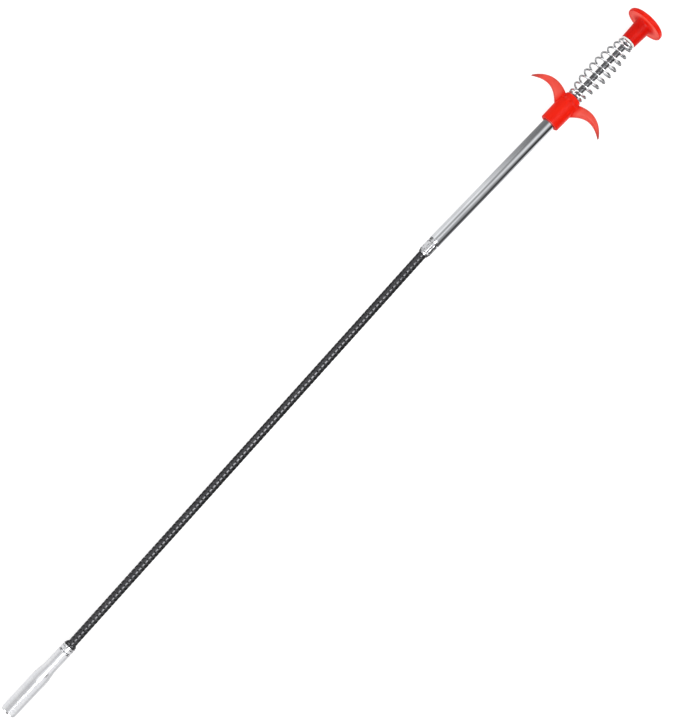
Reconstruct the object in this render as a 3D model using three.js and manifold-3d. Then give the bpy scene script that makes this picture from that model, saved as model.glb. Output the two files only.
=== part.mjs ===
// Spring claw drain auger, 600 mm long, lying on a flat surface with its finger horns level.
// Millimetres. +X runs along the handle tube towards the thumb button, +Z is up.
// z = 0 is the surface that the button's rim and the nozzle rest on.
import * as THREE from "three";
import { mergeVertices } from "three/addons/utils/BufferGeometryUtils.js";
import Module from "manifold-3d";

const wasm = await Module();
wasm.setup();

// ---- driving dimensions -------------------------------------------------------------------
const ROUND = 24; // facets of a round piece, with a flat facing straight down
const FLAT = Math.cos(Math.PI / ROUND); // distance to a flat as a share of the corner radius
const GAP = 0.3; // between pieces that are fixed to each other
const STROKE = 26; // plunger travel

const DISC_R = 13.35; // thumb button
const DISC_LOW = 295.4;
const DISC_RIM = 1.9;
const DISC_TOP = 300;
const STEM_LOW = 281.2;
const STEM_R0 = 5.2;
const STEM_R1 = 6.0;
const AXIS_Z = DISC_R * FLAT; // height of the handle axis

const ROD_R = 2.05;
const ROD_TOP = 291.0;
const ROD_LOW = 197.0;
const ROD_BORE = 2.13; // running fit in the guide bush
const WASHER_R = 5.0;
const WASHER_T = 1.1;

const SPRING_LOW = 231.7;
const SPRING_HIGH = 279.6;
const SPRING_END_R = 4.5; // wire centre radius at the ends
const SPRING_MID_R = 7.4; // wire centre radius half way along
const SPRING_WIRE = 0.6; // wire radius
const SPRING_TURNS = 10.6;

const HUB_LOW = 208.8;
const HUB_TOP = 231.2;
const HUB_R0 = 6.65;
const HUB_R1 = 6.95;
const SHOULDER_LOW = 227.6;
const SHOULDER_R = 5.6;
const HORN_HALF_Z0 = 3.1; // half thickness of a horn at its root
const HORN_HALF_Z1 = 1.0; // and at its tip

const TUBE_R = 4.1;
const TUBE_BORE = 3.45;
const TUBE_LOW = 104.9;
const TUBE_TOP = 228.3;
const FERRULE_LOW = 93.6;
const FERRULE_R = 3.95;
const CRIMP_JAWS = 8;

const SHAFT_R = 2.95; // outside of the flexible shaft
const SHAFT_BORE = 1.7;
const CABLE_R = 1.0;
const SECTIONS = 12; // links of the flexible shaft
const LINK_GAP = 0.55; // room between two links, so that they can tilt 7.6 degrees
const SHAFT_START = 93.2; // where the shaft leaves the ferrule
const SHAFT_TAIL = 18.5; // length of shaft held inside the ferrule and tube

const NOZZLE_R = 5.5;
const NOZZLE_BORE = 5.05;
const LIP_BORE = 4.9; // the rolled lip at the mouth
const NECK_R = 4.3;
const NECK_BORE = 3.25;
const NOZZLE_LENGTH = 58.6; // mouth to the point where the shaft enters
const NOZZLE_YAW = 0.94; // degrees between nozzle and tube, seen from above
const MOUTH_X = -299.9154; // so that the tilted rim reaches to -300
const SHAFT_SIDE = 12.05; // how far the shaft's far end lies to -Y of the tube axis

const CLAW_ROOT = 16.5; // claw hinge, measured back from the mouth
const CLAW_ROOT_R = 2.0; // claw hinge, measured out from the nozzle axis
const CLAW_LENGTHS = [13.5, 12.5, 13.0, 12.0]; // staggered so that the hooks stack when closed
const CLAW_WIDTH = 1.1;
const CLAW_T = 0.25;
const HOOK_BEND = 1.1;
const HOOK_REACH = 2.9;
const COLLAR_WIRE = 0.4; // wire radius of the binding coil
const COLLAR_R = 3.85; // its wire centre radius
const COLLAR_PITCH = 0.9;
const COLLAR_TURNS = 10.4;

// ---- materials ----------------------------------------------------------------------------
const paint = (color, roughness, metalness) =>
  new THREE.MeshStandardMaterial({ color, roughness, metalness });
const redPlastic = () => paint(0xd9160c, 0.35, 0);
const brightSteel = () => paint(0xc9ccd0, 0.18, 1);
const springSteel = () => paint(0xb4b8bd, 0.25, 1);
const paleZinc = () => paint(0xdfe2e6, 0.3, 1);
const blackCoil = () => paint(0x1c1d20, 0.4, 0.6);
const cableSteel = () => paint(0x8d9196, 0.45, 1);
const palePlastic = () => paint(0xe9e9e6, 0.5, 0);

// ---- shared geometry helpers --------------------------------------------------------------
const smooth = (t) => t * t * (3 - 2 * t);
const mix = (a, b, t) => a + (b - a) * t;

// A closed geometry from rings of points; wrap joins the last ring to the first.
// Without wrap the two end rings are closed by a fan.
function loft(rings, wrap) {
  const n = rings[0].length;
  const points = rings.flat();
  const faces = [];
  const last = wrap ? rings.length : rings.length - 1;
  for (let i = 0; i < last; i++) {
    const a = i * n;
    const b = ((i + 1) % rings.length) * n;
    for (let k = 0; k < n; k++) {
      const j = (k + 1) % n;
      faces.push([a + k, a + j, b + j], [a + k, b + j, b + k]);
    }
  }
  if (!wrap) {
    const end = (rings.length - 1) * n;
    for (let k = 1; k < n - 1; k++) {
      faces.push([0, k + 1, k], [end, end + k, end + k + 1]);
    }
  }
  return closed(points, faces);
}

// Builds the geometry, drops faces without area and turns the faces outwards.
function closed(points, faces) {
  const same = (a, b) => points[a].distanceToSquared(points[b]) < 1e-8;
  const kept = faces.filter(([a, b, c]) => !same(a, b) && !same(b, c) && !same(a, c));
  let volume = 0;
  for (const [a, b, c] of kept) {
    volume += points[a].dot(new THREE.Vector3().crossVectors(points[b], points[c]));
  }
  const index = volume < 0 ? kept.map(([a, b, c]) => [a, c, b]) : kept;
  const geometry = new THREE.BufferGeometry().setFromPoints(points);
  geometry.setIndex(index.flat());
  return geometry;
}

// A solid turned about the local X axis from a closed profile of [x, radius] points.
// shape(x, radius, angle) may change the radius, for pieces that aren't quite round.
function turned(profile, sides = ROUND, shape = (x, r) => r) {
  const rings = profile.map(([x, r]) => {
    const ring = [];
    for (let k = 0; k < sides; k++) {
      const angle = ((k + 0.5) / sides) * 2 * Math.PI;
      const radius = shape(x, r, angle);
      ring.push(new THREE.Vector3(x, radius * Math.cos(angle), radius * Math.sin(angle)));
    }
    return ring;
  });
  return loft(rings, true);
}

// A plain tube or rod from x0 to x1 along the local X axis.
function pipe(x0, x1, outer, inner = 0, sides = ROUND) {
  return turned([[x0, inner], [x0, outer], [x1, outer], [x1, inner]], sides);
}

// Rings of the given radius along a path of points, each square to the path.
function pathRings(path, radius, sides) {
  return path.map((at, i) => {
    const before = path[Math.max(0, i - 1)];
    const after = path[Math.min(path.length - 1, i + 1)];
    const along = after.clone().sub(before).normalize();
    const side = new THREE.Vector3(0, 0, 1).cross(along).normalize();
    const up = along.clone().cross(side);
    const ring = [];
    for (let k = 0; k < sides; k++) {
      const angle = ((k + 0.5) / sides) * 2 * Math.PI;
      const point = at.clone().addScaledVector(side, radius * Math.cos(angle));
      ring.push(point.addScaledVector(up, radius * Math.sin(angle)));
    }
    return ring;
  });
}

// A bent tube, or a bent rod where inner is 0.
function bentPipe(path, outer, inner, sides) {
  const outside = pathRings(path, outer, sides);
  if (!inner) return loft(outside, false);
  return loft([...outside, ...pathRings(path, inner, sides).reverse()], true);
}

// A wire wound about the local X axis: at(t) gives [x, radius, angle] for t from 0 to 1.
function wound(at, wire, steps, sides) {
  const point = (t) => {
    const [x, r, angle] = at(t);
    return new THREE.Vector3(x, r * Math.cos(angle), r * Math.sin(angle));
  };
  const rings = [];
  for (let i = 0; i <= steps; i++) {
    const t = i / steps;
    const centre = point(t);
    const along = point(Math.min(1, t + 1e-4)).sub(point(Math.max(0, t - 1e-4))).normalize();
    const out = new THREE.Vector3(0, centre.y, centre.z).normalize();
    const side = along.clone().cross(out).normalize();
    out.crossVectors(side, along);
    const ring = [];
    for (let k = 0; k < sides; k++) {
      const angle = (k / sides) * 2 * Math.PI;
      const p = centre.clone().addScaledVector(out, wire * Math.cos(angle));
      ring.push(p.addScaledVector(side, wire * Math.sin(angle)));
    }
    rings.push(ring);
  }
  return loft(rings, false);
}

function toSolid(geometry) {
  const bare = new THREE.BufferGeometry();
  bare.setAttribute("position", geometry.getAttribute("position"));
  bare.setIndex(geometry.index);
  const merged = mergeVertices(bare, 1e-4);
  return new wasm.Manifold(
    new wasm.Mesh({
      numProp: 3,
      vertProperties: new Float32Array(merged.attributes.position.array),
      triVerts: new Uint32Array(merged.index.array),
    }),
  );
}

function fromSolid(solid) {
  const mesh = solid.getMesh();
  const points = [];
  for (let i = 0; i < mesh.numVert; i++) {
    points.push(...mesh.vertProperties.subarray(i * mesh.numProp, i * mesh.numProp + 3));
  }
  const geometry = new THREE.BufferGeometry();
  geometry.setAttribute("position", new THREE.Float32BufferAttribute(points, 3));
  geometry.setIndex([...mesh.triVerts]);
  return geometry;
}

// ---- frames -------------------------------------------------------------------------------
// The handle frame: local X is world X, on the tube axis.
const handleFrame = new THREE.Matrix4().makeTranslation(0, 0, AXIS_Z);

// The nozzle frame: local X runs from the mouth back along the nozzle, level with the ground.
const nozzleZ = NOZZLE_R * FLAT;
const yaw = THREE.MathUtils.degToRad(NOZZLE_YAW);
const shaftEnd = new THREE.Vector3(
  MOUTH_X + NOZZLE_LENGTH * Math.cos(yaw),
  -SHAFT_SIDE,
  nozzleZ,
);
const nozzleFrame = new THREE.Matrix4().makeRotationZ(yaw);
nozzleFrame.setPosition(MOUTH_X, -SHAFT_SIDE - NOZZLE_LENGTH * Math.sin(yaw), nozzleZ);

// The shaft's centre line from the ferrule (t = 0) to the nozzle (t = 1). It runs straight when
// seen from above and sinks smoothly from the handle axis to the nozzle axis.
function shaftPoint(t) {
  return new THREE.Vector3(
    mix(SHAFT_START, shaftEnd.x, t),
    mix(0, shaftEnd.y, t),
    mix(AXIS_Z, nozzleZ, smooth(t)),
  );
}

// The path of link number i (0 first), with half a gap left at each end that meets another link.
function linkPath(i, tail, tip) {
  const a = shaftPoint(i / SECTIONS);
  const b = shaftPoint((i + 1) / SECTIONS);
  const along = b.clone().sub(a).normalize();
  const path = [];
  if (i === 0) {
    path.push(new THREE.Vector3(SHAFT_START + tail, 0, AXIS_Z), a);
  } else {
    path.push(a.clone().addScaledVector(along, LINK_GAP / 2));
  }
  if (i === SECTIONS - 1) {
    path.push(b, new THREE.Vector3(tip, 0, 0).applyMatrix4(nozzleFrame));
  } else {
    path.push(b.clone().addScaledVector(along, -LINK_GAP / 2));
  }
  return path;
}

// ---- plunger ------------------------------------------------------------------------------
function thumbButton() {
  const bore = ROD_R + GAP;
  return turned([
    [STEM_LOW, bore],
    [STEM_LOW, STEM_R0 - 0.3],
    [STEM_LOW + 0.3, STEM_R0],
    [DISC_LOW - 0.9, STEM_R1],
    [DISC_LOW, STEM_R1 + 0.9],
    [DISC_LOW + 0.2, DISC_R - 0.5],
    [DISC_LOW + 0.7, DISC_R],
    [DISC_LOW + DISC_RIM, DISC_R],
    [DISC_TOP - 1.6, DISC_R - 1.2],
    [DISC_TOP - 0.6, DISC_R * 0.62],
    [DISC_TOP, DISC_R * 0.28],
    [DISC_TOP, 0],
    [ROD_TOP + GAP, 0],
    [ROD_TOP + GAP, bore],
  ]);
}

function plungerRod() {
  return turned([
    [ROD_LOW, 0],
    [ROD_LOW, ROD_R - 0.3],
    [ROD_LOW + 0.4, ROD_R],
    [ROD_TOP, ROD_R],
    [ROD_TOP, 0],
  ]);
}

function springWasher() {
  const top = STEM_LOW - GAP;
  return turned([
    [top - WASHER_T, ROD_R + GAP],
    [top - WASHER_T, WASHER_R - 0.2],
    [top - WASHER_T + 0.2, WASHER_R],
    [top, WASHER_R],
    [top, ROD_R + GAP],
  ]);
}

function stopCollar() {
  return turned([
    [209.3, ROD_R + GAP],
    [209.3, 2.9],
    [209.6, 3.15],
    [213.4, 3.15],
    [213.7, 2.9],
    [213.7, ROD_R + GAP],
  ]);
}

function cableCrimp() {
  return turned([
    [189.0, CABLE_R + GAP],
    [189.0, 2.3],
    [190.5, 3.05],
    [205.0, 3.05],
    [205.0, ROD_R + GAP],
    [196.7, ROD_R + GAP],
    [196.7, CABLE_R + GAP],
  ]);
}

const plungerCable = () => pipe(150.5, 196.7, CABLE_R, 0, 12);

// ---- return spring ------------------------------------------------------------------------
// Right-handed, barrel-shaped, with one closed turn at each end.
function returnSpring() {
  const x0 = SPRING_LOW + SPRING_WIRE;
  const x1 = SPRING_HIGH - SPRING_WIRE;
  const closedTurn = 2 * SPRING_WIRE + 0.15;
  const at = (t) => {
    const turn = t * SPRING_TURNS;
    const open = (x1 - x0 - 2 * closedTurn) / (SPRING_TURNS - 2);
    let x = x0 + closedTurn * Math.min(turn, 1);
    x += open * THREE.MathUtils.clamp(turn - 1, 0, SPRING_TURNS - 2);
    x += closedTurn * Math.max(0, turn - (SPRING_TURNS - 1));
    const share = THREE.MathUtils.clamp((x - x0) / (x1 - x0), 0, 1);
    const radius = mix(SPRING_END_R, SPRING_MID_R, Math.sin(Math.PI * share) ** 0.8);
    return [x, radius, 2 * Math.PI * turn];
  };
  return wound(at, SPRING_WIRE, Math.round(SPRING_TURNS * 18), 6);
}

// ---- handle -------------------------------------------------------------------------------
// One crescent horn, towards +Y for side 1 and -Y for side -1.
function horn(side) {
  const top = new THREE.CubicBezierCurve(
    new THREE.Vector2(5.2, 229.3),
    new THREE.Vector2(10.5, 232.6),
    new THREE.Vector2(21.5, 235.0),
    new THREE.Vector2(29.5, 223.3),
  );
  const under = new THREE.CubicBezierCurve(
    new THREE.Vector2(5.2, 218.8),
    new THREE.Vector2(12.0, 226.5),
    new THREE.Vector2(18.0, 230.0),
    new THREE.Vector2(29.2, 222.7),
  );
  const rings = [];
  for (let i = 0; i <= 10; i++) {
    const t = i / 10;
    const a = top.getPoint(t);
    const b = under.getPoint(t);
    const half = mix(HORN_HALF_Z0, HORN_HALF_Z1, t ** 1.5);
    const ring = [];
    for (let k = 0; k < 16; k++) {
      const angle = (k / 16) * 2 * Math.PI;
      const c = Math.sign(Math.cos(angle)) * Math.abs(Math.cos(angle)) ** 0.8;
      const s = Math.sign(Math.sin(angle)) * Math.abs(Math.sin(angle)) ** 0.8;
      const y = (a.x + b.x) / 2 + (c * (a.x - b.x)) / 2;
      const x = (a.y + b.y) / 2 + (c * (a.y - b.y)) / 2;
      ring.push(new THREE.Vector3(x, side * y, s * half));
    }
    rings.push(ring);
  }
  return loft(rings, false);
}

function fingerGrip() {
  const hub = turned([
    [HUB_LOW, 0],
    [HUB_LOW, HUB_R0 - 0.4],
    [HUB_LOW + 0.4, HUB_R0],
    [SHOULDER_LOW - 1.2, HUB_R1],
    [SHOULDER_LOW - 0.4, HUB_R1 - 0.2],
    [SHOULDER_LOW, SHOULDER_R],
    [HUB_TOP - 0.4, SHOULDER_R],
    [HUB_TOP, SHOULDER_R - 0.4],
    [HUB_TOP, 0],
  ]);
  const bore = pipe(HUB_LOW - 1, HUB_TOP + 1, TUBE_R + GAP);
  const body = toSolid(hub).add(toSolid(horn(1))).add(toSolid(horn(-1)));
  return fromSolid(body.subtract(toSolid(bore)));
}

const handleTube = () => pipe(TUBE_LOW, TUBE_TOP, TUBE_R, TUBE_BORE);

function guideBush() {
  return turned([
    [214.0, ROD_BORE],
    [214.0, TUBE_BORE - GAP],
    [TUBE_TOP + GAP, TUBE_BORE - GAP],
    [TUBE_TOP + GAP, TUBE_R],
    [HUB_TOP - 0.3, TUBE_R],
    [HUB_TOP - 0.3, ROD_BORE],
  ]);
}

// The ferrule is squeezed on to the shaft by crimping jaws that leave lengthwise dents.
function tubeFerrule() {
  const jawMark = (x, r, angle) => {
    if (r < SHAFT_R + 0.4) return r;
    const along = THREE.MathUtils.clamp((x - FERRULE_LOW - 1.2) / 1.6, 0, 1);
    const away = THREE.MathUtils.clamp((TUBE_LOW - 1.8 - x) / 2.2, 0, 1);
    const dent = 0.5 - 0.5 * Math.cos(CRIMP_JAWS * angle);
    return r - 0.32 * dent * smooth(Math.min(along, away));
  };
  const top = TUBE_LOW - GAP;
  return turned(
    [
      [FERRULE_LOW, SHAFT_R + 0.2],
      [FERRULE_LOW, SHAFT_R + 0.5],
      [FERRULE_LOW + 1.2, SHAFT_R + 0.6],
      [FERRULE_LOW + 2.2, FERRULE_R - 0.1],
      [FERRULE_LOW + 3.4, FERRULE_R],
      [FERRULE_LOW + 6.4, FERRULE_R],
      [top - 2.6, FERRULE_R],
      [top - 1.4, FERRULE_R - 0.1],
      [top, FERRULE_R + 0.1],
      [top, SHAFT_R + 0.2],
    ],
    40,
    jawMark,
  );
}

// ---- flexible shaft -----------------------------------------------------------------------
const shaftSection = (i) => bentPipe(linkPath(i, SHAFT_TAIL, 54.7), SHAFT_R, SHAFT_BORE, 20);
const coreCable = (i) => bentPipe(linkPath(i, 28, 56.1), CABLE_R, 0, 8);

// ---- nozzle -------------------------------------------------------------------------------
// Local x is the distance back from the mouth.
function shaftEndRing() {
  return turned([
    [58.0, NECK_BORE],
    [58.0, 3.8],
    [58.3, 4.0],
    [59.1, 3.95],
    [59.6, 3.6],
    [59.6, NECK_BORE],
  ]);
}

function nozzleCollar() {
  return turned([
    [48.5, 1.6],
    [48.5, NECK_BORE - GAP],
    [53.7, NECK_BORE - GAP],
    [53.7, NECK_R - 0.2],
    [53.9, NECK_R],
    [56.1, NECK_R],
    [56.4, NECK_R - 0.2],
    [56.8, NECK_R - 0.2],
    [57.0, NECK_R + 0.08],
    [57.7, NECK_R],
    [57.7, NECK_BORE],
    [54.3, NECK_BORE],
    [54.3, 1.6],
  ]);
}

function clawNozzle() {
  return turned([
    [0.0, LIP_BORE],
    [0.0, NOZZLE_R - 0.3],
    [0.3, NOZZLE_R - 0.12],
    [1.0, NOZZLE_R],
    [29.5, NOZZLE_R],
    [31.5, NOZZLE_R - 0.15],
    [37.0, NECK_R + 0.2],
    [39.5, NECK_R],
    [52.8, NECK_R],
    [53.1, NECK_R - 0.25],
    [53.1, NECK_BORE],
    [40.0, NECK_BORE],
    [31.2, NOZZLE_BORE],
    [0.7, NOZZLE_BORE],
    [0.5, LIP_BORE],
  ]);
}

// ---- claw carrier and claws ---------------------------------------------------------------
// The plug that holds the four strip roots inside the binding coil, with a guide flange behind.
function clawFerrule() {
  const plug = turned([
    [CLAW_ROOT + 0.7, 0],
    [CLAW_ROOT + 0.7, 1.85],
    [26.8, 1.85],
    [26.8, 4.5],
    [27.1, 4.85],
    [30.0, 4.85],
    [30.3, 4.5],
    [30.3, 2.4],
    [33.0, 2.1],
    [33.0, CABLE_R + GAP],
    [24.0, CABLE_R + GAP],
    [24.0, 0],
  ]);
  let body = toSolid(plug);
  for (let i = 0; i < 4; i++) {
    const root = new THREE.BoxGeometry(5.0, 0.85, CLAW_WIDTH);
    root.translate(CLAW_ROOT + 0.35 + 2.5, 1.3 + 0.425, 0);
    root.rotateX(clawAngle(i));
    body = body.add(toSolid(root));
  }
  return fromSolid(body);
}

function clawCollarCoil() {
  const x0 = CLAW_ROOT - 0.2 + COLLAR_WIRE;
  const at = (t) => {
    const turn = t * COLLAR_TURNS;
    return [x0 + COLLAR_PITCH * turn, COLLAR_R, 2 * Math.PI * turn];
  };
  return wound(at, COLLAR_WIRE, Math.round(COLLAR_TURNS * 16), 5);
}

const clawCable = () => pipe(24.3, 55.5, CABLE_R, 0, 12);

// The four claws stand at 45, 135, 225 and 315 degrees about the nozzle axis.
const clawAngle = (i) => THREE.MathUtils.degToRad(45 + 90 * i);

// A flat strip that lies along the nozzle when closed, with its tip bent inwards into a hook.
function claw(i) {
  const length = CLAW_LENGTHS[i];
  const middle = [new THREE.Vector2(0.05, 0), new THREE.Vector2(length * 0.5, 0)];
  for (let k = 0; k <= 6; k++) {
    const a = (k / 6) * (Math.PI / 2);
    const along = length - HOOK_BEND + HOOK_BEND * Math.sin(a);
    middle.push(new THREE.Vector2(along, -HOOK_BEND + HOOK_BEND * Math.cos(a)));
  }
  middle.push(new THREE.Vector2(length, -HOOK_REACH));
  const offset = (side) =>
    middle.map((p, k) => {
      const before = middle[Math.max(0, k - 1)];
      const after = middle[Math.min(middle.length - 1, k + 1)];
      const along = after.clone().sub(before).normalize();
      return new THREE.Vector2(-along.y, along.x).multiplyScalar((side * CLAW_T) / 2).add(p);
    });
  const outline = [...offset(1), ...offset(-1).reverse()];
  const strip = new THREE.ExtrudeGeometry(new THREE.Shape(outline), {
    depth: CLAW_WIDTH,
    bevelEnabled: false,
    curveSegments: 1,
  });
  strip.translate(0, 0, -CLAW_WIDTH / 2);
  const out = new THREE.Vector3(0, Math.cos(clawAngle(i)), Math.sin(clawAngle(i)));
  const forward = new THREE.Vector3(-1, 0, 0);
  const across = forward.clone().cross(out);
  const place = new THREE.Matrix4().makeBasis(forward, out, across);
  place.setPosition(out.clone().multiplyScalar(CLAW_ROOT_R).setX(CLAW_ROOT));
  return strip.applyMatrix4(place);
}

// ---- assembly -----------------------------------------------------------------------------
const group = new THREE.Group();
group.name = "spring_claw_drain_auger";

function put(name, geometry, material, frame) {
  const placed = geometry.clone();
  if (frame) placed.applyMatrix4(frame);
  placed.computeVertexNormals();
  const mesh = new THREE.Mesh(placed, material);
  mesh.name = name;
  group.add(mesh);
}

const number = (i) => String(i + 1).padStart(2, "0");

put("thumb_button", thumbButton(), redPlastic(), handleFrame);
put("plunger_rod", plungerRod(), brightSteel(), handleFrame);
put("spring_seat_washer", springWasher(), palePlastic(), handleFrame);
put("return_spring", returnSpring(), springSteel(), handleFrame);
put("stop_collar", stopCollar(), cableSteel(), handleFrame);
put("cable_crimp", cableCrimp(), cableSteel(), handleFrame);
put("plunger_cable", plungerCable(), cableSteel(), handleFrame);
put("finger_grip", fingerGrip(), redPlastic(), handleFrame);
put("guide_bush", guideBush(), palePlastic(), handleFrame);
put("handle_tube", handleTube(), brightSteel(), handleFrame);
put("tube_ferrule", tubeFerrule(), paleZinc(), handleFrame);
for (let i = 0; i < SECTIONS; i++) {
  put("shaft_section_" + number(i), shaftSection(i), blackCoil());
  put("core_cable_" + number(i), coreCable(i), cableSteel());
}
put("shaft_end_ring", shaftEndRing(), blackCoil(), nozzleFrame);
put("nozzle_collar", nozzleCollar(), paleZinc(), nozzleFrame);
put("claw_nozzle", clawNozzle(), paleZinc(), nozzleFrame);
put("claw_ferrule", clawFerrule(), cableSteel(), nozzleFrame);
put("claw_collar_coil", clawCollarCoil(), springSteel(), nozzleFrame);
put("claw_cable", clawCable(), cableSteel(), nozzleFrame);
for (let i = 0; i < 4; i++) {
  put("claw_" + (i + 1), claw(i), springSteel(), nozzleFrame);
}

export default group;
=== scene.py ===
"""Looks of the spring claw drain auger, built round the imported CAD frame.

Pieces are drawn in millimetres in the frame's axes and scaled to metres when they become meshes.
"""

import math

import bmesh
import bpy
from mathutils import Matrix, Vector


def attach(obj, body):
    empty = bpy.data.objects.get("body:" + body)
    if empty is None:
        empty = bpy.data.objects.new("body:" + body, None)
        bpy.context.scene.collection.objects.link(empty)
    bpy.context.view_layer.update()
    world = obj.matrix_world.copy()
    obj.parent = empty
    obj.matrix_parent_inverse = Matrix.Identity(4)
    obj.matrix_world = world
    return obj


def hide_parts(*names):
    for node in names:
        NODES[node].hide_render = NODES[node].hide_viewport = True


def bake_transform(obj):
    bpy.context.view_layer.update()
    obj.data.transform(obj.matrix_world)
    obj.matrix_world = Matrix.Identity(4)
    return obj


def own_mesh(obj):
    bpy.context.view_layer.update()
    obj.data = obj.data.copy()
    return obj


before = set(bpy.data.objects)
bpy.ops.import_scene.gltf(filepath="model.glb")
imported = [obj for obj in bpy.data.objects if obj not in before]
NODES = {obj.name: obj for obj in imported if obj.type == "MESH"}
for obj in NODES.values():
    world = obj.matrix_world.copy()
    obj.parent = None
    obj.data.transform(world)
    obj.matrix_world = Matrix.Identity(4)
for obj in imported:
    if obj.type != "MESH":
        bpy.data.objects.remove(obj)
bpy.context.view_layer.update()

MM = 0.001
CAD_SIDES = 24  # facets of a round CAD piece, with a flat facing straight down
FLAT = math.cos(math.pi / CAD_SIDES)  # distance to a flat as a share of the corner radius
BUTTON_R = 13.35
NOZZLE_R = 5.5
AXIS_Z = BUTTON_R * FLAT  # height of the handle axis
NOZZLE_Z = NOZZLE_R * FLAT  # height of the nozzle axis
NOZZLE_LENGTH = 58.6  # mouth to the point where the shaft enters
YAW = math.radians(0.94)  # between nozzle and tube, seen from above
MOUTH_X = -299.9154
SHAFT_SIDE = -12.05  # where the shaft's far end lies beside the handle axis
MOUTH = Vector((MOUTH_X, SHAFT_SIDE - NOZZLE_LENGTH * math.sin(YAW), NOZZLE_Z))
SHAFT_START = Vector((93.2, 0.0, AXIS_Z))
SHAFT_END = Vector((MOUTH.x + NOZZLE_LENGTH * math.cos(YAW), SHAFT_SIDE, NOZZLE_Z))
SECTIONS = 12  # rigid links of the shaft

# Local X of the handle frame is the handle axis. In the nozzle frame it runs back from the mouth.
HANDLE = Matrix.Translation((0, 0, AXIS_Z))
NOZZLE = Matrix.Translation(MOUTH) @ Matrix.Rotation(YAW, 4, "Z")


def mix(a, b, t):
    return a + (b - a) * t


def smooth(t):
    """An even rise from 0 to 1, flat at both ends."""
    t = min(1.0, max(0.0, t))
    return t * t * (3 - 2 * t)


# ---- materials ----------------------------------------------------------------------------
class Graph:
    """A short way to write a node tree."""

    def __init__(self, tree):
        self.tree = tree

    def link(self, a, b):
        self.tree.links.new(a, b)

    def ramp(self, value, stops):
        """A colour ramp. Its stops are (position, colour) with a colour or one grey number."""
        n = self.tree.nodes.new("ShaderNodeValToRGB")
        while len(n.color_ramp.elements) < len(stops):
            n.color_ramp.elements.new(0.5)
        for e, (at, colour) in zip(n.color_ramp.elements, stops):
            e.position = at
            e.color = (*colour, 1) if isinstance(colour, tuple) else (colour, colour, colour, 1)
        self.link(value, n.inputs["Fac"])
        return n.outputs["Color"]

    def span(self, value, low, high, into_low=0.0, into_high=1.0):
        """Maps low..high on to into_low..into_high and clamps it there."""
        n = self.tree.nodes.new("ShaderNodeMapRange")
        n.inputs["From Min"].default_value = low
        n.inputs["From Max"].default_value = high
        n.inputs["To Min"].default_value = into_low
        n.inputs["To Max"].default_value = into_high
        self.link(value, n.inputs["Value"])
        return n.outputs["Result"]

    def maths(self, kind, a, b):
        n = self.tree.nodes.new("ShaderNodeMath")
        n.operation = kind
        for i, v in enumerate((a, b)):
            if isinstance(v, (int, float)):
                n.inputs[i].default_value = v
            else:
                self.link(v, n.inputs[i])
        return n.outputs["Value"]

    def blend(self, share, a, b):
        """Colour a where share is 0 and b where it is 1."""
        n = self.tree.nodes.new("ShaderNodeMix")
        n.data_type = "RGBA"
        self.link(share, n.inputs["Factor"])
        for v, name in ((a, "A"), (b, "B")):
            socket = [i for i in n.inputs if i.name == name and i.type == "RGBA"][0]
            if isinstance(v, (int, float)):
                socket.default_value = (v, v, v, 1)
            else:
                self.link(v, socket)
        return [o for o in n.outputs if o.type == "RGBA"][0]


class Nodes(Graph):
    """A node material with object coordinates, in metres, at hand."""

    def __init__(self, name):
        self.material = bpy.data.materials.new(name)
        self.material.use_nodes = True
        super().__init__(self.material.node_tree)
        self.shader = self.tree.nodes["Principled BSDF"]
        self.coords = self.tree.nodes.new("ShaderNodeTexCoord").outputs["Object"]

    def scaled(self, scale):
        n = self.tree.nodes.new("ShaderNodeMapping")
        n.inputs["Scale"].default_value = scale
        self.link(self.coords, n.inputs["Vector"])
        return n.outputs["Vector"]

    def noise(self, scale, detail=3.0, rough=0.5, at=None):
        n = self.tree.nodes.new("ShaderNodeTexNoise")
        n.inputs["Scale"].default_value = scale
        n.inputs["Detail"].default_value = detail
        n.inputs["Roughness"].default_value = rough
        self.link(at if at is not None else self.coords, n.inputs["Vector"])
        return n.outputs["Fac"]

    def bump(self, value, strength, distance):
        """Adds relief on top of any that is already there."""
        n = self.tree.nodes.new("ShaderNodeBump")
        n.inputs["Strength"].default_value = strength
        n.inputs["Distance"].default_value = distance
        self.link(value, n.inputs["Height"])
        last = self.shader.inputs["Normal"]
        if last.is_linked:
            self.link(last.links[0].from_socket, n.inputs["Normal"])
        self.link(n.outputs["Normal"], last)

    def base(self, socket):
        self.link(socket, self.shader.inputs["Base Color"])

    def rough(self, socket):
        self.link(socket, self.shader.inputs["Roughness"])

    def set(self, **values):
        for key, value in values.items():
            self.shader.inputs[key.replace("_", " ")].default_value = value
        return self


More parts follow.
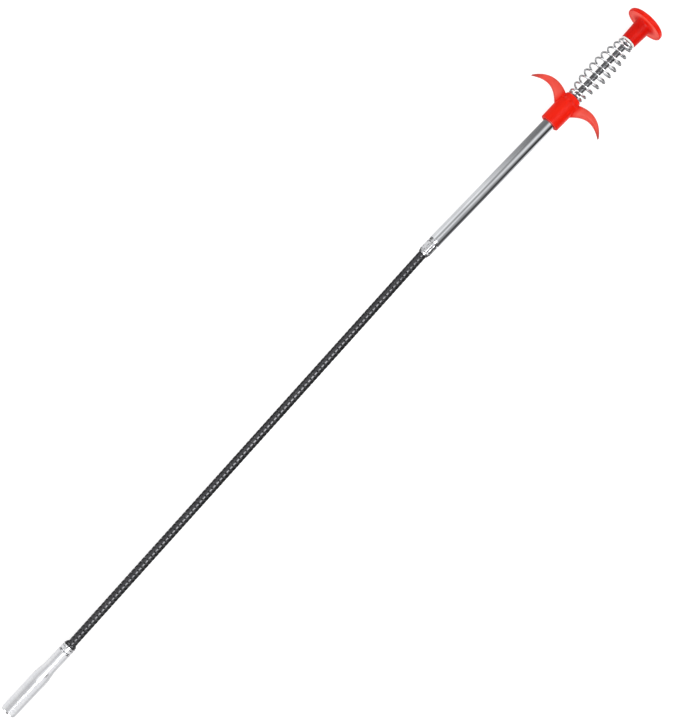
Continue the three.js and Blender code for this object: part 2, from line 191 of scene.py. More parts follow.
def red_plastic():
    """Injection-moulded plastic: flow marks, orange peel and fine scuffs.

    The button's stem is deepest in colour. Thin walls, the disc and the horns are painted paler, as
    painted light shining through the thin plastic, apart from the horn tips.
    """
    m = Nodes("red_plastic").set(Metallic=0.0, IOR=1.45, Specular_IOR_Level=0.17)
    flow = m.noise(90, 4.0, 0.55)
    thick = m.ramp(flow, [(0.3, (0.66, 0.008, 0.001)), (0.55, (0.71, 0.011, 0.002)),
                          (0.75, (0.76, 0.015, 0.003))])
    stem = m.ramp(flow, [(0.3, (0.52, 0.003, 0.0005)), (0.75, (0.64, 0.007, 0.001))])
    # painted light: the disc's paler pink stands in for light shining through the thin disc
    disc = m.ramp(flow, [(0.3, (0.82, 0.078, 0.055)), (0.75, (0.92, 0.110, 0.080))])
    tip = m.ramp(flow, [(0.3, (0.30, 0.020, 0.014)), (0.75, (0.45, 0.035, 0.024))])
    # painted light: paler red on thin walls and horns stands in for light shining through thin
    # plastic
    thin_glow = m.ramp(flow, [(0.3, (0.67, 0.060, 0.042)), (0.55, (0.71, 0.073, 0.051)),
                         (0.75, (0.75, 0.087, 0.063))])
    split = m.tree.nodes.new("ShaderNodeSeparateXYZ")
    m.link(m.coords, split.inputs[0])
    x, y, z = split.outputs
    z = m.maths("SUBTRACT", z, AXIS_Z * MM)
    radius = m.maths("SQRT", m.maths("ADD", m.maths("MULTIPLY", y, y), m.maths("MULTIPLY", z, z)),
                     0.0)
    horns = m.span(radius, 0.0072, 0.0095)
    behind_crown = m.span(x, 0.2956, 0.2963, 1.0, 0.0)
    on_stem = m.maths("MULTIPLY", m.span(x, 0.2800, 0.2805), m.span(x, 0.2945, 0.2955, 1.0, 0.0))
    solid = m.blend(on_stem, thick, stem)
    disc = m.blend(m.span(radius, 0.0123, 0.0128), disc, thick)
    thin_glow = m.blend(m.span(x, 0.2900, 0.2925), thin_glow, disc)
    walls = m.blend(m.maths("MULTIPLY", horns, behind_crown), solid, thin_glow)
    m.base(m.blend(m.span(radius, 0.0235, 0.0290), walls, tip))
    grain = m.noise(1500, 2.0)
    scuff = m.noise(1.0, 5.0, 0.7, m.scaled((500, 2600, 2600)))
    m.rough(m.maths("ADD", m.span(flow, 0.3, 0.7, 0.26, 0.36), m.span(scuff, 0.55, 0.8, 0.0, 0.16)))
    m.bump(grain, 0.12, 0.00012)
    m.bump(scuff, 0.05, 0.00008)
    return m.material


def metal(name, dark, light, rough, grain, bump=0.1, blotch=60, spread=0.08, tint=None):
    """Bright metal whose tool marks run as the grain scales say: a small number is along them."""
    m = Nodes(name).set(Metallic=1.0)
    marks = m.noise(1.0, 4.0, 0.6, m.scaled(grain))
    cloud = m.noise(blotch, 4.0, 0.6)
    both = m.maths("ADD", m.maths("MULTIPLY", marks, 0.55), m.maths("MULTIPLY", cloud, 0.45))
    stops = [(0.32, dark), (0.62, light)]
    if tint:
        stops.append((0.8, tint))
    m.base(m.ramp(both, stops))
    m.rough(m.span(both, 0.3, 0.7, rough, rough + spread))
    m.bump(marks, bump, 0.00005)
    return m.material


def black_wire():
    """Black finished spring wire, rubbed a little brighter in places along its crown."""
    m = Nodes("black_wire").set(Metallic=0.9, Specular_IOR_Level=0.5)
    fine = m.noise(1400, 4.0, 0.6)
    patch = m.noise(160, 3.0, 0.6)
    both = m.maths("ADD", m.maths("MULTIPLY", fine, 0.4), m.maths("MULTIPLY", patch, 0.6))
    m.base(m.ramp(both, [(0.35, (0.060, 0.060, 0.065)), (0.6, (0.095, 0.095, 0.10)),
                         (0.78, (0.15, 0.15, 0.157))]))
    m.rough(m.span(both, 0.3, 0.75, 0.16, 0.28))
    m.bump(fine, 0.15, 0.00006)
    return m.material


def pale_plastic():
    """The spring seat and the guide bush."""
    m = Nodes("pale_plastic").set(Metallic=0.0)
    cloud = m.noise(200, 3.0)
    m.base(m.ramp(cloud, [(0.35, (0.72, 0.72, 0.69)), (0.7, (0.84, 0.84, 0.82))]))
    m.rough(m.span(cloud, 0.3, 0.7, 0.38, 0.5))
    m.bump(m.noise(2500, 2.0), 0.1, 0.00008)
    return m.material


def strand_steel():
    """Stranded cable: fine slanting wires."""
    m = Nodes("strand_steel").set(Metallic=1.0)
    w = m.tree.nodes.new("ShaderNodeTexWave")
    w.inputs["Scale"].default_value = 420
    w.inputs["Distortion"].default_value = 0.6
    w.bands_direction = "DIAGONAL"
    m.link(m.coords, w.inputs["Vector"])
    m.base(m.ramp(w.outputs["Fac"], [(0.2, (0.2, 0.2, 0.21)), (0.8, (0.55, 0.56, 0.58))]))
    m.rough(m.span(m.noise(900), 0.3, 0.7, 0.3, 0.5))
    m.bump(w.outputs["Fac"], 0.5, 0.0001)
    return m.material


RED = red_plastic()
TUBE = metal("tube_chrome", (0.60, 0.61, 0.64), (0.74, 0.755, 0.78), 0.05, (30, 2600, 2600), 0.03,
             spread=0.02)
ROD = metal("rod_steel", (0.26, 0.265, 0.275), (0.42, 0.425, 0.44), 0.12, (60, 3000, 3000), 0.08)
ZINC = metal("nozzle_plate", (0.80, 0.81, 0.85), (0.93, 0.935, 0.95), 0.09, (900, 300, 300), 0.06,
             blotch=110, spread=0.05)
FERRULE = metal("ferrule_plate", (0.66, 0.67, 0.7), (0.82, 0.825, 0.84), 0.1, (1500, 500, 500),
                0.12, blotch=300, spread=0.05)
SPRING = metal("spring_wire", (0.62, 0.63, 0.65), (0.84, 0.85, 0.87), 0.12, (900, 900, 900), 0.1)
CLAW = metal("claw_strip", (0.42, 0.415, 0.42), (0.68, 0.67, 0.66), 0.2, (300, 2400, 2400), 0.12,
             tint=(0.6, 0.5, 0.42))
PLAIN = metal("turned_steel", (0.42, 0.43, 0.45), (0.58, 0.59, 0.61), 0.28, (3000, 300, 300), 0.15)
BLACK = black_wire()
PALE = pale_plastic()
STRAND = strand_steel()


# ---- mesh helpers -------------------------------------------------------------------------
def made(name, verts, faces, material, body, slot, replaces=(), edge=32.0):
    """A finished piece: mesh from points in mm, shaded smooth except at edges over the angle."""
    mesh = bpy.data.meshes.new(name)
    mesh.from_pydata([tuple(c * MM for c in v) for v in verts], [], faces)
    mesh.validate()
    bm = bmesh.new()
    bm.from_mesh(mesh)
    bmesh.ops.remove_doubles(bm, verts=bm.verts, dist=1e-7)
    bmesh.ops.recalc_face_normals(bm, faces=bm.faces)
    bm.to_mesh(mesh)
    bm.free()
    mesh.polygons.foreach_set("use_smooth", [True] * len(mesh.polygons))
    mesh.set_sharp_from_angle(angle=math.radians(edge))
    obj = bpy.data.objects.new(name, mesh)
    bpy.context.scene.collection.objects.link(obj)
    obj.data.materials.append(material)
    if body:
        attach(obj, body)
    if replaces:
        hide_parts(*replaces)
    return obj


def skin(rings, wrap):
    """Faces over rings of equal length; wrap joins the last ring to the first, else caps."""
    n = len(rings[0])
    verts = [v for ring in rings for v in ring]
    faces = []
    for i in range(len(rings) if wrap else len(rings) - 1):
        a, b = i * n, ((i + 1) % len(rings)) * n
        for k in range(n):
            j = (k + 1) % n
            faces.append((a + k, a + j, b + j, b + k))
    if not wrap:
        faces.append(tuple(range(n))[::-1])
        faces.append(tuple(range(len(verts) - n, len(verts))))
    return verts, faces


FILLET_STEPS = 5
FILLET_SHARE = 0.48  # the most of a neighbouring edge that a fillet may take
LONG_RUN = 1.5
HOLD = 0.35


def rounded(points):
    """Profile [(x, r, fillet), ...] with each corner cut back by its fillet and curved."""
    out = []
    n = len(points)
    for i, (x, r, fillet) in enumerate(points):
        p = Vector((x, r))
        if not fillet:
            out.append(p)
            continue
        a = Vector(points[i - 1][:2]) - p
        b = Vector(points[(i + 1) % n][:2]) - p
        if a.length < 1e-9 or b.length < 1e-9:
            out.append(p)
            continue
        back = min(fillet, a.length * FILLET_SHARE, b.length * FILLET_SHARE)
        s, e = p + a.normalized() * back, p + b.normalized() * back
        for k in range(FILLET_STEPS + 1):
            t = k / FILLET_STEPS
            out.append(s * (1 - t) ** 2 + p * 2 * t * (1 - t) + e * t * t)
    return out


def held(profile):
    """A closed profile with points near both ends of each long run, so its shading stays even."""
    out = []
    for a, b in zip(profile, profile[1:] + profile[:1]):
        out.append(a)
        if (b - a).length > LONG_RUN:
            step = (b - a).normalized() * HOLD
            out += [a + step, b - step]
    return out


def lathe(name, points, where, material, body, slot, replaces=(), sides=96, shape=None,
          edge=32.0):
    """Turned piece from a closed profile of (x, radius, fillet) about the local X axis.

    shape(x, radius, angle) may change the radius, for pieces that aren't quite round.
    """
    rings = []
    for p in held(rounded(points)):
        ring = []
        for k in range(sides):
            a = (k + 0.5) / sides * 2 * math.pi
            r = shape(p.x, p.y, a) if shape else p.y
            ring.append(where @ Vector((p.x, r * math.cos(a), r * math.sin(a))))
        rings.append(ring)
    verts, faces = skin(rings, True)
    return made(name, verts, faces, material, body, slot, replaces, edge)


def wire(at, t0, t1, steps, section):
    """Rings of a wire along at(t) -> (point, outward). section: [(out, along), ...] in mm."""
    rings = []
    for i in range(steps + 1):
        t = mix(t0, t1, i / steps)
        centre, out = at(t)
        d = (t1 - t0) / steps * 0.05
        along = (at(t + d)[0] - at(t - d)[0]).normalized()
        side = along.cross(out).normalized()
        out = side.cross(along)
        rings.append([centre + out * a + side * b for a, b in section])
    return rings


def circle(radius, n):
    """Section of a round wire."""
    return [(radius * math.cos(2 * math.pi * k / n), radius * math.sin(2 * math.pi * k / n))
            for k in range(n)]


# ---- thumb button -------------------------------------------------------------------------
lathe("thumb_button_moulding", [
    (281.2, 2.3, 0), (281.2, 4.6, 0.15), (281.0, 4.8, 0.1), (281.0, 5.25, 0.35),
    (288.0, 5.62, 1.0), (293.9, 5.95, 0.6), (294.9, 6.35, 0.5), (295.5, 7.9, 1.2),
    (295.7, 11.6, 1.5), (295.15, 12.55, 0.5), (295.3, 13.236, 0.45), (297.3, 13.236, 0.7),
    (298.4, 12.05, 1.5), (299.4, 8.7, 2.5), (299.95, 4.6, 0.7), (300.0, 3.6, 0.2), (300.0, 0, 0),
    (291.3, 0, 0), (291.3, 2.3, 0),
], HANDLE, RED, "plunger", "red_plastic", ["thumb_button"], sides=144)

lathe("plunger_rod_bar", [
    (197.0, 0, 0), (197.0, 1.7, 0.1), (197.5, 2.05, 0.2), (290.6, 2.05, 0.2), (291.0, 1.8, 0.1),
    (291.0, 0, 0),
], HANDLE, ROD, "plunger", "rod_steel", ["plunger_rod"], sides=48)

lathe("spring_seat_disc", [
    (279.8, 2.35, 0.1), (279.8, 5.0, 0.25), (280.9, 5.0, 0.25), (280.9, 2.35, 0.1),
], HANDLE, PALE, "plunger", "pale_plastic", ["spring_seat_washer"], sides=72)


# ---- return spring ------------------------------------------------------------------------
SPRING_LOW, SPRING_HIGH, SPRING_WIRE, SPRING_TURNS = 231.7, 279.6, 0.6, 10.6
SPRING_END_R, SPRING_MID_R = 4.5, 7.4
SPRING_END_GAP = 0.15  # between the closed end turn and the next one


def spring_at(t):
    """Centre and outward direction of the barrel-shaped wire, with a closed turn at each end."""
    x0, x1 = SPRING_LOW + SPRING_WIRE, SPRING_HIGH - SPRING_WIRE
    end = 2 * SPRING_WIRE + SPRING_END_GAP
    turn = t * SPRING_TURNS
    pitch = (x1 - x0 - 2 * end) / (SPRING_TURNS - 2)
    x = x0 + end * min(turn, 1) + pitch * min(SPRING_TURNS - 2, max(0, turn - 1))
    x += end * max(0, turn - (SPRING_TURNS - 1))
    share = min(1, max(0, (x - x0) / (x1 - x0)))
    r = mix(SPRING_END_R, SPRING_MID_R, math.sin(math.pi * share) ** 0.8)
    a = 2 * math.pi * turn
    out = Vector((0, math.cos(a), math.sin(a)))
    return HANDLE @ (Vector((x, 0, 0)) + out * r), out


spring = made("return_spring_wire", *skin(wire(spring_at, 0, 1, 560, circle(SPRING_WIRE, 14)),
                                          False),
              SPRING, "handle", "spring_steel", ["return_spring"], edge=50)
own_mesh(spring)


# ---- finger grip --------------------------------------------------------------------------
def bezier(p, t):
    """A point on a cubic curve with the four control points p."""
    s = 1 - t
    return tuple(s ** 3 * a + 3 * s * s * t * b + 3 * s * t * t * c + t ** 3 * d
                 for a, b, c, d in zip(*p))


# Edges of a horn seen from above, as (distance from the axis, x).
HORN_TOP = ((4.6, 229.2), (10.5, 232.6), (21.5, 235.0), (29.5, 223.3))
HORN_UNDER = ((4.6, 218.2), (12.0, 226.5), (18.0, 230.0), (29.2, 222.7))
HORN_ROOT_HALF, HORN_TIP_HALF = 3.1, 1.0  # half thickness
HORN_STEPS, HORN_SIDES = 60, 40
HORN_SQUARENESS = 0.75  # 1 is an oval section, less is squarer
HUB_SIDES = 96
GRIP_VOXEL = 0.24


def horn_rings(side):
    """Rings of one crescent horn, towards +Y for side 1 and -Y for side -1."""
    rings = []
    for i in range(HORN_STEPS + 1):
        t = i / HORN_STEPS
        (ya, xa), (yb, xb) = bezier(HORN_TOP, t), bezier(HORN_UNDER, t)
        half = mix(HORN_ROOT_HALF, HORN_TIP_HALF, t ** 1.5)
        ring = []
        for k in range(HORN_SIDES):
            a = 2 * math.pi * k / HORN_SIDES
            c = math.copysign(abs(math.cos(a)) ** HORN_SQUARENESS, math.cos(a))
            s = math.copysign(abs(math.sin(a)) ** HORN_SQUARENESS, math.sin(a))
            ring.append(Vector(((xa + xb) / 2 + c * (xa - xb) / 2,
                                side * ((ya + yb) / 2 + c * (ya - yb) / 2), s * half)))
        rings.append([HANDLE @ p for p in ring])
    return rings


def finger_grip():
    """Hub and both horns joined by a fine voxel remesh, which leaves moulded fillets."""
    hub = [(208.8, 4.3, 0.1), (208.8, 6.65, 0.5), (226.6, 6.95, 0.7), (227.6, 5.75, 0.4),
           (231.2, 5.6, 1.1), (231.2, 4.3, 0.1)]
    angles = [(k + 0.5) / HUB_SIDES * 2 * math.pi for k in range(HUB_SIDES)]
    rings = [[HANDLE @ Vector((p.x, p.y * math.cos(a), p.y * math.sin(a))) for a in angles]
             for p in rounded(hub)]
    verts, faces = skin(rings, True)
    for side in (1, -1):
        v, f = skin(horn_rings(side), False)
        faces += [tuple(i + len(verts) for i in face) for face in f]
        verts += v
    obj = made("finger_grip_moulding", verts, faces, RED, None, "red_plastic")
    remesh = obj.modifiers.new("join", "REMESH")
    remesh.mode = "VOXEL"
    remesh.voxel_size = GRIP_VOXEL * MM
    soften = obj.modifiers.new("soften", "SMOOTH")
    soften.factor = 0.5
    soften.iterations = 5
    done = bpy.data.meshes.new_from_object(
        obj.evaluated_get(bpy.context.evaluated_depsgraph_get()))
    obj.modifiers.clear()
    obj.data = done
    done.polygons.foreach_set("use_smooth", [True] * len(done.polygons))
    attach(obj, "handle")
    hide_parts("finger_grip")


finger_grip()

# ---- handle tube and ferrule --------------------------------------------------------------
lathe("handle_tube_steel", [
    (104.9, 3.45, 0.1), (104.9, 4.1, 0.3), (228.3, 4.1, 0.15), (228.3, 3.45, 0.1),
], HANDLE, TUBE, "handle", "tube_steel", ["handle_tube"], sides=120)


CRIMP_JAWS = 8
FERRULE_INSIDE = 3.4  # points of the profile closer in than this belong to the bore
GROOVE_DEPTH, PINCH_DEPTH = 0.17, 0.1
PINCH_X, PINCH_LENGTH = (97.2, 101.0), 0.9


def jaw_marks(x, r, a):
    """Narrow lengthwise grooves left by the crimping jaws, pinched deeper at two places."""
    if r < FERRULE_INSIDE:
        return r
    along = smooth((x - 94.8) / 1.6) * smooth((103.4 - x) / 2.2)
    groove = (0.5 - 0.5 * math.cos(CRIMP_JAWS * a)) ** 5
    pinch = sum(math.exp(-((x - at) / PINCH_LENGTH) ** 2) for at in PINCH_X)
    return r - along * (GROOVE_DEPTH + PINCH_DEPTH * pinch) * groove


FERRULE_PROFILE = [(93.6, 3.15, 0.05), (93.6, 3.45, 0.12), (94.8, 3.55, 0.3), (95.6, 3.85, 0.4)]
FERRULE_PROFILE += [(95.6 + 0.3 * i, 3.95, 0) for i in range(1, 23)]
FERRULE_PROFILE += [(102.8, 3.85, 0.3), (103.5, 3.8, 0.3), (104.6, 4.05, 0.2), (104.6, 3.15, 0.05)]
lathe("crimped_ferrule", FERRULE_PROFILE, HANDLE, FERRULE, "handle", "ferrule_steel",
      ["tube_ferrule"], sides=160, shape=jaw_marks, edge=40)


# ---- flexible shaft -----------------------------------------------------------------------
LENGTH = (SHAFT_END - SHAFT_START).length  # ferrule to nozzle
PITCH = 3.23
COIL_R = 2.38  # radius to the middle of the flat wire
COIL_STEPS = 30  # to a turn
COIL_IN_FERRULE, COIL_IN_NOZZLE = 1.5, 2.2  # wound length hidden at each end
CABLE_R = 1.0
CABLE_IN_HANDLE, CABLE_IN_NOZZLE = 27.5, 2.5
BODIES = ["handle"] + [f"link_{i}" for i in range(2, SECTIONS)] + ["nozzle"]


def shaft_centre(u):
    """Centre line at u mm from the ferrule towards the nozzle."""
    if u < 0:
        return SHAFT_START - Vector((u, 0, 0))
    if u > LENGTH:
        return SHAFT_END - Vector((math.cos(YAW), math.sin(YAW), 0)) * (u - LENGTH)
    t = u / LENGTH
    return Vector((mix(SHAFT_START.x, SHAFT_END.x, t), mix(0, SHAFT_END.y, t),
                   mix(AXIS_Z, NOZZLE_Z, smooth(t))))


def shaft_frame(u):
    """The centre line's point at u and two directions square to the line there."""
    along = (shaft_centre(u + 2) - shaft_centre(u - 2)).normalized()
    side = Vector((0, 0, 1)).cross(along).normalized()
    return shaft_centre(u), side, along.cross(side)


def coil_at(u):
    """Centre and outward direction of the shaft's wound wire."""
    centre, side, up = shaft_frame(u)
    a = 2 * math.pi * u / PITCH
    out = side * math.cos(a) + up * math.sin(a)
    return centre + out * COIL_R, out


def crowned(half_out, half_along):
    """Section of a flat wire with a mildly crowned outer face and soft corners."""
    n = 18
    out = []
    for k in range(n):
        a = 2 * math.pi * (k + 0.5) / n
        c = math.copysign(abs(math.cos(a)) ** 0.38, math.cos(a))
        s = math.copysign(abs(math.sin(a)) ** 0.6, math.sin(a))
        out.append((c * half_out, s * half_along))
    return out


def mid(i):
    """The middle of link i, counted from 0, in mm from the ferrule."""
    return (i + 0.5) / SECTIONS * LENGTH


def shaft_piece(name, rings, a, b, material, slot, replaces):
    """A length of shaft that rides on body a, or, when b is given, is left unattached with its
    transform baked in.
    """
    verts, faces = skin(rings, False)
    obj = made(name, verts, faces, material, None if b else a, slot, replaces, edge=60)
    if b:
        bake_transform(obj)


def core_rings(u0, u1):
    """Rings of the push-pull cable inside the shaft."""
    rings = []
    steps = max(2, int((u1 - u0) / 4))
    for i in range(steps + 1):
        centre, side, up = shaft_frame(mix(u0, u1, i / steps))
        rings.append([centre + side * a + up * b for a, b in circle(CABLE_R, 16)])
    return rings


SECTION = crowned(0.57, 1.56)
# The first and last lengths are rigid. Each of the others runs from one link's middle to the next.
spans = [(-COIL_IN_FERRULE, mid(0), "handle", None)]
spans += [(mid(i), mid(i + 1), BODIES[i], BODIES[i + 1]) for i in range(SECTIONS - 1)]
spans += [(mid(SECTIONS - 1), LENGTH + COIL_IN_NOZZLE, "nozzle", None)]
for k, (u0, u1, a, b) in enumerate(spans):
    steps = max(24, int((u1 - u0) / PITCH * COIL_STEPS))
    coil = [f"shaft_section_{k + 1:02d}"] if k < SECTIONS else []
    shaft_piece(f"shaft_coil_{k + 1}", wire(coil_at, u0, u1, steps, SECTION),
                a, b, BLACK, "black_coil", coil)
    core = [f"core_cable_{k + 1:02d}"] if k < SECTIONS else []
    c0 = -CABLE_IN_HANDLE if k == 0 else u0
    c1 = LENGTH + CABLE_IN_NOZZLE if k == SECTIONS else u1
    shaft_piece(f"cable_length_{k + 1}", core_rings(c0, c1), a, b, STRAND,
                "cable_steel", core)

# ---- nozzle -------------------------------------------------------------------------------
lathe("shaft_black_ring", [
    (58.0, 3.25, 0.05), (58.0, 3.8, 0.15), (58.3, 3.92, 0.2), (58.8, 3.85, 0.3),
    (59.4, 3.4, 0.25), (59.5, 3.25, 0.05),
], NOZZLE, BLACK, "nozzle", "black_metal", ["shaft_end_ring"], sides=72)

lathe("nozzle_collar_ring", [
    (48.5, 1.6, 0), (48.5, 2.95, 0.2), (53.7, 2.95, 0), (53.7, 4.05, 0.1), (53.95, 4.28, 0.15),
    (56.0, 4.26, 0.3), (56.35, 4.08, 0.15), (56.75, 4.08, 0.15), (57.0, 4.34, 0.2),
    (57.7, 4.28, 0.25), (57.7, 3.25, 0), (54.3, 3.25, 0), (54.3, 1.6, 0),
], NOZZLE, ZINC, "nozzle", "nozzle_steel", ["nozzle_collar"], sides=96)

lathe("claw_nozzle_shell", [
    (0.0, 4.9, 0.15), (0.0, 5.2, 0.2), (0.35, 5.35, 0.3), (1.1, 5.453, 0.6), (29.3, 5.453, 2.0),
    (32.0, 5.24, 2.0), (37.0, 4.5, 2.0), (39.8, 4.3, 2.0), (52.6, 4.28, 0.5), (53.1, 4.02, 0.2),
    (53.1, 3.25, 0), (40.0, 3.25, 1), (31.2, 5.05, 1), (0.8, 5.05, 0.1), (0.5, 4.9, 0.1),
], NOZZLE, ZINC, "nozzle", "nozzle_steel", ["claw_nozzle"], sides=128)

# ---- claw carrier and claws ---------------------------------------------------------------
lathe("claw_root_plug", [
    (17.2, 0, 0), (17.2, 1.85, 0.3), (26.8, 1.85, 0), (26.8, 4.8, 0.3), (30.3, 4.8, 0.3),
    (30.3, 2.4, 0), (33.0, 2.1, 0.3), (33.0, 1.3, 0), (24.0, 1.3, 0), (24.0, 0, 0),
], NOZZLE, PLAIN, "claw_carrier", "plain_steel", ["claw_ferrule"], sides=64)

COLLAR_LOW, COLLAR_WIRE, COLLAR_R, COLLAR_PITCH, COLLAR_TURNS = 16.3, 0.43, 3.83, 0.9, 10.4


def collar_at(t):
    """Centre and outward direction of the coil that binds the claw roots, t turns along it."""
    x = COLLAR_LOW + COLLAR_WIRE + COLLAR_PITCH * t
    a = 2 * math.pi * t
    out = Vector((0, math.cos(a), math.sin(a)))
    return NOZZLE @ (Vector((x, 0, 0)) + out * COLLAR_R), NOZZLE.to_3x3() @ out


made("claw_collar_wire",
     *skin(wire(collar_at, 0, COLLAR_TURNS, 520, circle(COLLAR_WIRE, 12)), False),
     SPRING, "claw_carrier", "spring_steel", ["claw_collar_coil"], edge=50)

CLAW_ROOT, CLAW_ROOT_R = 16.5, 2.0  # the hinge, back from the mouth and out from the axis
CLAW_LENGTHS = (13.5, 12.5, 13.0, 12.0)  # staggered so that the hooks stack when closed
CLAW_HALF_WIDTH, CLAW_HALF_THICKNESS = 0.55, 0.125
CLAW_TAIL = 4.6  # length of strip held in the coil
HOOK_BEND, HOOK_REACH = 1.1, 2.9
# Corners of the strip's section as shares of its half thickness and half width.
CLAW_SECTION = ((1, -0.8), (1, 0.8), (0.6, 1), (-0.6, 1), (-1, 0.8), (-1, -0.8), (-0.6, -1),
                (0.6, -1))


def claw_strip(i):
    """One flat strip from its root in the coil to its inward hook, with a slightly worn tip."""
    length = CLAW_LENGTHS[i]
    straight = length - HOOK_BEND
    line = [(-CLAW_TAIL + CLAW_TAIL * k / 10, 0.0) for k in range(10)]
    line += [(straight * k / 24, 0.0) for k in range(25)]
    for k in range(1, 17):
        a = k / 16 * math.pi / 2
        line.append((straight + HOOK_BEND * math.sin(a), -HOOK_BEND + HOOK_BEND * math.cos(a)))
    line += [(length, -HOOK_BEND - (HOOK_REACH - HOOK_BEND) * k / 6) for k in range(1, 7)]
    angle = math.radians(45 + 90 * i)
    out = Vector((0, math.cos(angle), math.sin(angle)))
    across = Vector((-1, 0, 0)).cross(out)
    rings = []
    for k, p in enumerate(line):
        q0, q1 = line[max(0, k - 1)], line[min(len(line) - 1, k + 1)]
        d = Vector((q1[0] - q0[0], q1[1] - q0[1])).normalized()
        normal = Vector((-d.y, d.x))
        left = (len(line) - 1 - k) / 6  # 1 where the tip begins to round off, 0 at its end
        share = 1 if left >= 1 else mix(0.62, 1, math.sqrt(max(0, 1 - (1 - left) ** 2)))
        wide = CLAW_HALF_WIDTH * share
        ring = []
        for a, b in CLAW_SECTION:
            f = Vector(p) + normal * (CLAW_HALF_THICKNESS * a)
            at = Vector((CLAW_ROOT - f.x, 0, 0)) + out * (CLAW_ROOT_R + f.y)
            ring.append(NOZZLE @ (at + across * (wide * b)))
        rings.append(ring)
    obj = made(f"claw_strip_{i + 1}", *skin(rings, False), CLAW, None, "claw_steel",
               [f"claw_{i + 1}"], edge=35)
    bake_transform(obj)


for i in range(4):
    claw_strip(i)

# ---- CAD nodes that stay ------------------------------------------------------------------
for node, material in (("guide_bush", PALE), ("stop_collar", PLAIN), ("cable_crimp", PLAIN),
                       ("plunger_cable", STRAND), ("claw_cable", STRAND)):
    NODES[node].data.materials.clear()
    NODES[node].data.materials.append(material)

# ---- floor --------------------------------------------------------------------------------
floor_mesh = bpy.data.meshes.new("floor")
floor_mesh.from_pydata([(-4, -4, 0), (4, -4, 0), (4, 4, 0), (-4, 4, 0)], [], [(0, 1, 2, 3)])
floor = bpy.data.objects.new("floor", floor_mesh)
bpy.context.scene.collection.objects.link(floor)
floor_look = Nodes("floor_paper").set(Metallic=0.0, Specular_IOR_Level=0.1)
paper = floor_look.noise(25, 3.0)
floor_look.base(floor_look.ramp(paper, [(0.3, (0.30, 0.30, 0.30)), (0.7, (0.32, 0.32, 0.32))]))
floor_look.rough(floor_look.span(paper, 0.3, 0.7, 0.8, 0.9))
floor_look.set(Emission_Color=(1, 1, 1, 1), Emission_Strength=0.8)
floor.data.materials.append(floor_look.material)
floor.visible_glossy = False  # the metal mirrors the lower half of the world instead

# ---- light --------------------------------------------------------------------------------
# Long bright and dark strips lie along the tool. Each ramp below goes once round the tool's axis:
# 0 and 1 are straight down, 0.25 is level towards -Y, 0.5 is up and 0.75 is level towards +Y.
# They follow each other along X, by the x share of the direction that a ray leaves in.
world = bpy.data.worlds.new("studio")
bpy.context.scene.world = world
world.use_nodes = True
sky = Graph(world.node_tree)
coords = sky.tree.nodes.new("ShaderNodeTexCoord")
split = sky.tree.nodes.new("ShaderNodeSeparateXYZ")
sky.link(coords.outputs["Generated"], split.inputs[0])
east, north, up_share = split.outputs["X"], split.outputs["Y"], split.outputs["Z"]
east_size = sky.maths("ABSOLUTE", east, 0.0)
north_size = sky.maths("ABSOLUTE", north, 0.0)
round_tool = sky.span(sky.maths("ARCTAN2", north, up_share), -math.pi, math.pi)
over_hub = sky.ramp(round_tool, [
    (0.0, 0.1), (0.03, 0.15), (0.06, 1.15), (0.16, 1.1), (0.24, 0.06), (0.30, 0.04),
    (0.35, 0.16), (0.43, 0.95), (0.47, 1.05), (0.5, 0.78), (0.56, 0.26), (0.61, 0.22),
    (0.76, 0.26), (0.94, 0.38), (0.97, 0.1), (1.0, 0.1)])
over_ferrule = sky.ramp(round_tool, [
    (0.0, 1.0), (0.12, 0.8), (0.19, 0.14), (0.26, 0.06), (0.31, 0.14), (0.36, 0.4),
    (0.42, 0.6), (0.47, 1.0), (0.5, 0.8), (0.545, 0.36), (0.58, 0.6), (0.63, 1.2),
    (0.7, 0.95), (1.0, 0.85)])
over_shaft = sky.ramp(round_tool, [
    (0.0, 0.12), (0.25, 0.1), (0.34, 0.14), (0.4, 0.35), (0.44, 0.7), (0.505, 0.95),
    (0.6, 0.8), (0.68, 0.5), (0.74, 0.15), (1.0, 0.12)])
over_nozzle = sky.ramp(round_tool, [
    (0.0, 0.9), (0.14, 0.75), (0.21, 0.56), (0.27, 0.74), (0.33, 0.86), (0.43, 0.8),
    (0.49, 0.77), (0.54, 0.54), (0.6, 0.52), (0.68, 0.74), (0.75, 0.85), (1.0, 0.85)])
ceiling = sky.blend(sky.span(east, 0.15, 0.2), over_ferrule, over_hub)
ceiling = sky.blend(sky.span(east, 0.064, 0.077), over_shaft, ceiling)
ceiling = sky.blend(sky.span(east, -0.3, -0.285), over_nozzle, ceiling)
# A bright narrow tube hangs over the black shaft alone.
lamp = sky.ramp(round_tool, [(0.405, 0.0), (0.43, 7.6), (0.475, 7.6), (0.505, 0.0)])
reach = sky.maths("MULTIPLY", sky.span(east, -0.28, -0.26), sky.span(east, 0.045, 0.06, 1.0, 0.0))
ceiling = sky.maths("ADD", ceiling, sky.maths("MULTIPLY", lamp, reach))
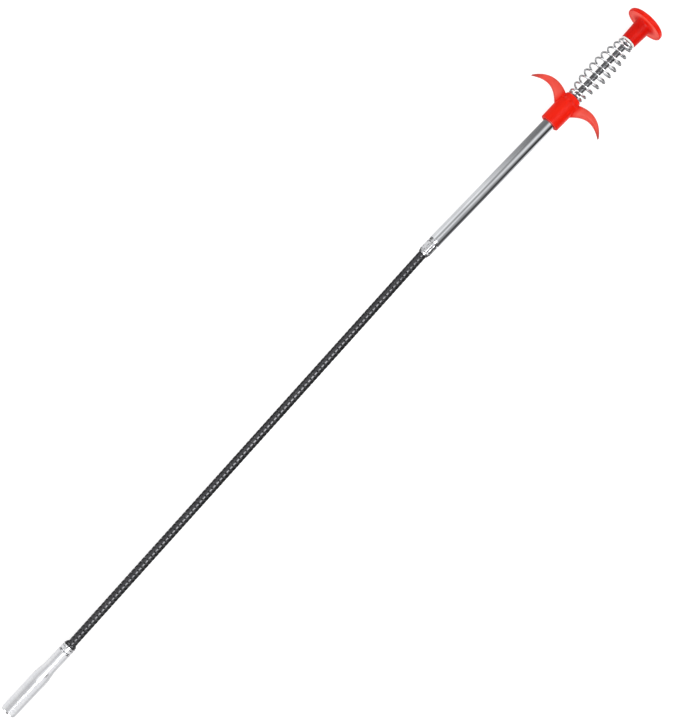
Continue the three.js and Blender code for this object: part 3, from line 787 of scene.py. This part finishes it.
# Beyond both ends it is dark, apart from four softboxes that stand at the corners.
ends = sky.blend(sky.span(east_size, 0.42, 0.6), ceiling, 0.06)
boxes = sky.maths("MULTIPLY", sky.span(east_size, 0.5, 0.58), sky.span(north_size, 0.26, 0.34))
boxes = sky.maths("MULTIPLY", boxes, sky.span(up_share, 0.05, 0.15))
level = sky.blend(boxes, ends, 3.2)
sky.link(level, sky.tree.nodes["Background"].inputs["Color"])
sky.tree.nodes["Background"].inputs["Strength"].default_value = 1.0


def card(name, y, stops):
    """A glowing card that stands along the nozzle and shows only in its plating."""
    x0, x1, half = -0.40, -0.269, 0.25  # its ends along X and half its height
    mesh = bpy.data.meshes.new(name)
    mesh.from_pydata([(x0, y, -half), (x1, y, -half), (x1, y, half), (x0, y, half)], [],
                     [(0, 1, 2, 3)])
    obj = bpy.data.objects.new(name, mesh)
    bpy.context.scene.collection.objects.link(obj)
    look = Nodes(name).set(Base_Color=(0, 0, 0, 1), Emission_Strength=1.0)
    height = look.tree.nodes.new("ShaderNodeSeparateXYZ")
    look.link(look.coords, height.inputs[0])
    glow = look.ramp(look.span(height.outputs["Z"], -half, half), stops)
    look.link(glow, look.shader.inputs["Emission Color"])
    obj.data.materials.append(look.material)
    obj.visible_camera = obj.visible_diffuse = obj.visible_shadow = False


card("card_left", 0.11, [(0.0, 0.85), (0.5, 0.85), (0.61, 0.74), (0.8, 0.52)])
card("card_right", -0.135, [(0.0, 0.9), (0.3, 0.75), (0.44, 0.56), (0.53, 0.74), (0.63, 0.86)])

# ---- camera -------------------------------------------------------------------------------
CAMERA_X, CAMERA_Y, CAMERA_HEIGHT = 0.0096, -0.0097, 0.913  # it looks straight down
ROLL = math.radians(45.936)
camera_data = bpy.data.cameras.new("camera")
camera_data.lens = 71.0
camera_data.sensor_width = 36.0
camera = bpy.data.objects.new("camera", camera_data)
bpy.context.scene.collection.objects.link(camera)
right = Vector((math.cos(ROLL), -math.sin(ROLL), 0))
up = Vector((math.sin(ROLL), math.cos(ROLL), 0))
camera.matrix_world = Matrix((
    (right.x, up.x, 0, CAMERA_X),
    (right.y, up.y, 0, CAMERA_Y),
    (0, 0, 1, CAMERA_HEIGHT),
    (0, 0, 0, 1),
))
bpy.context.scene.camera = camera
bpy.context.scene.view_settings.view_transform = "Standard"
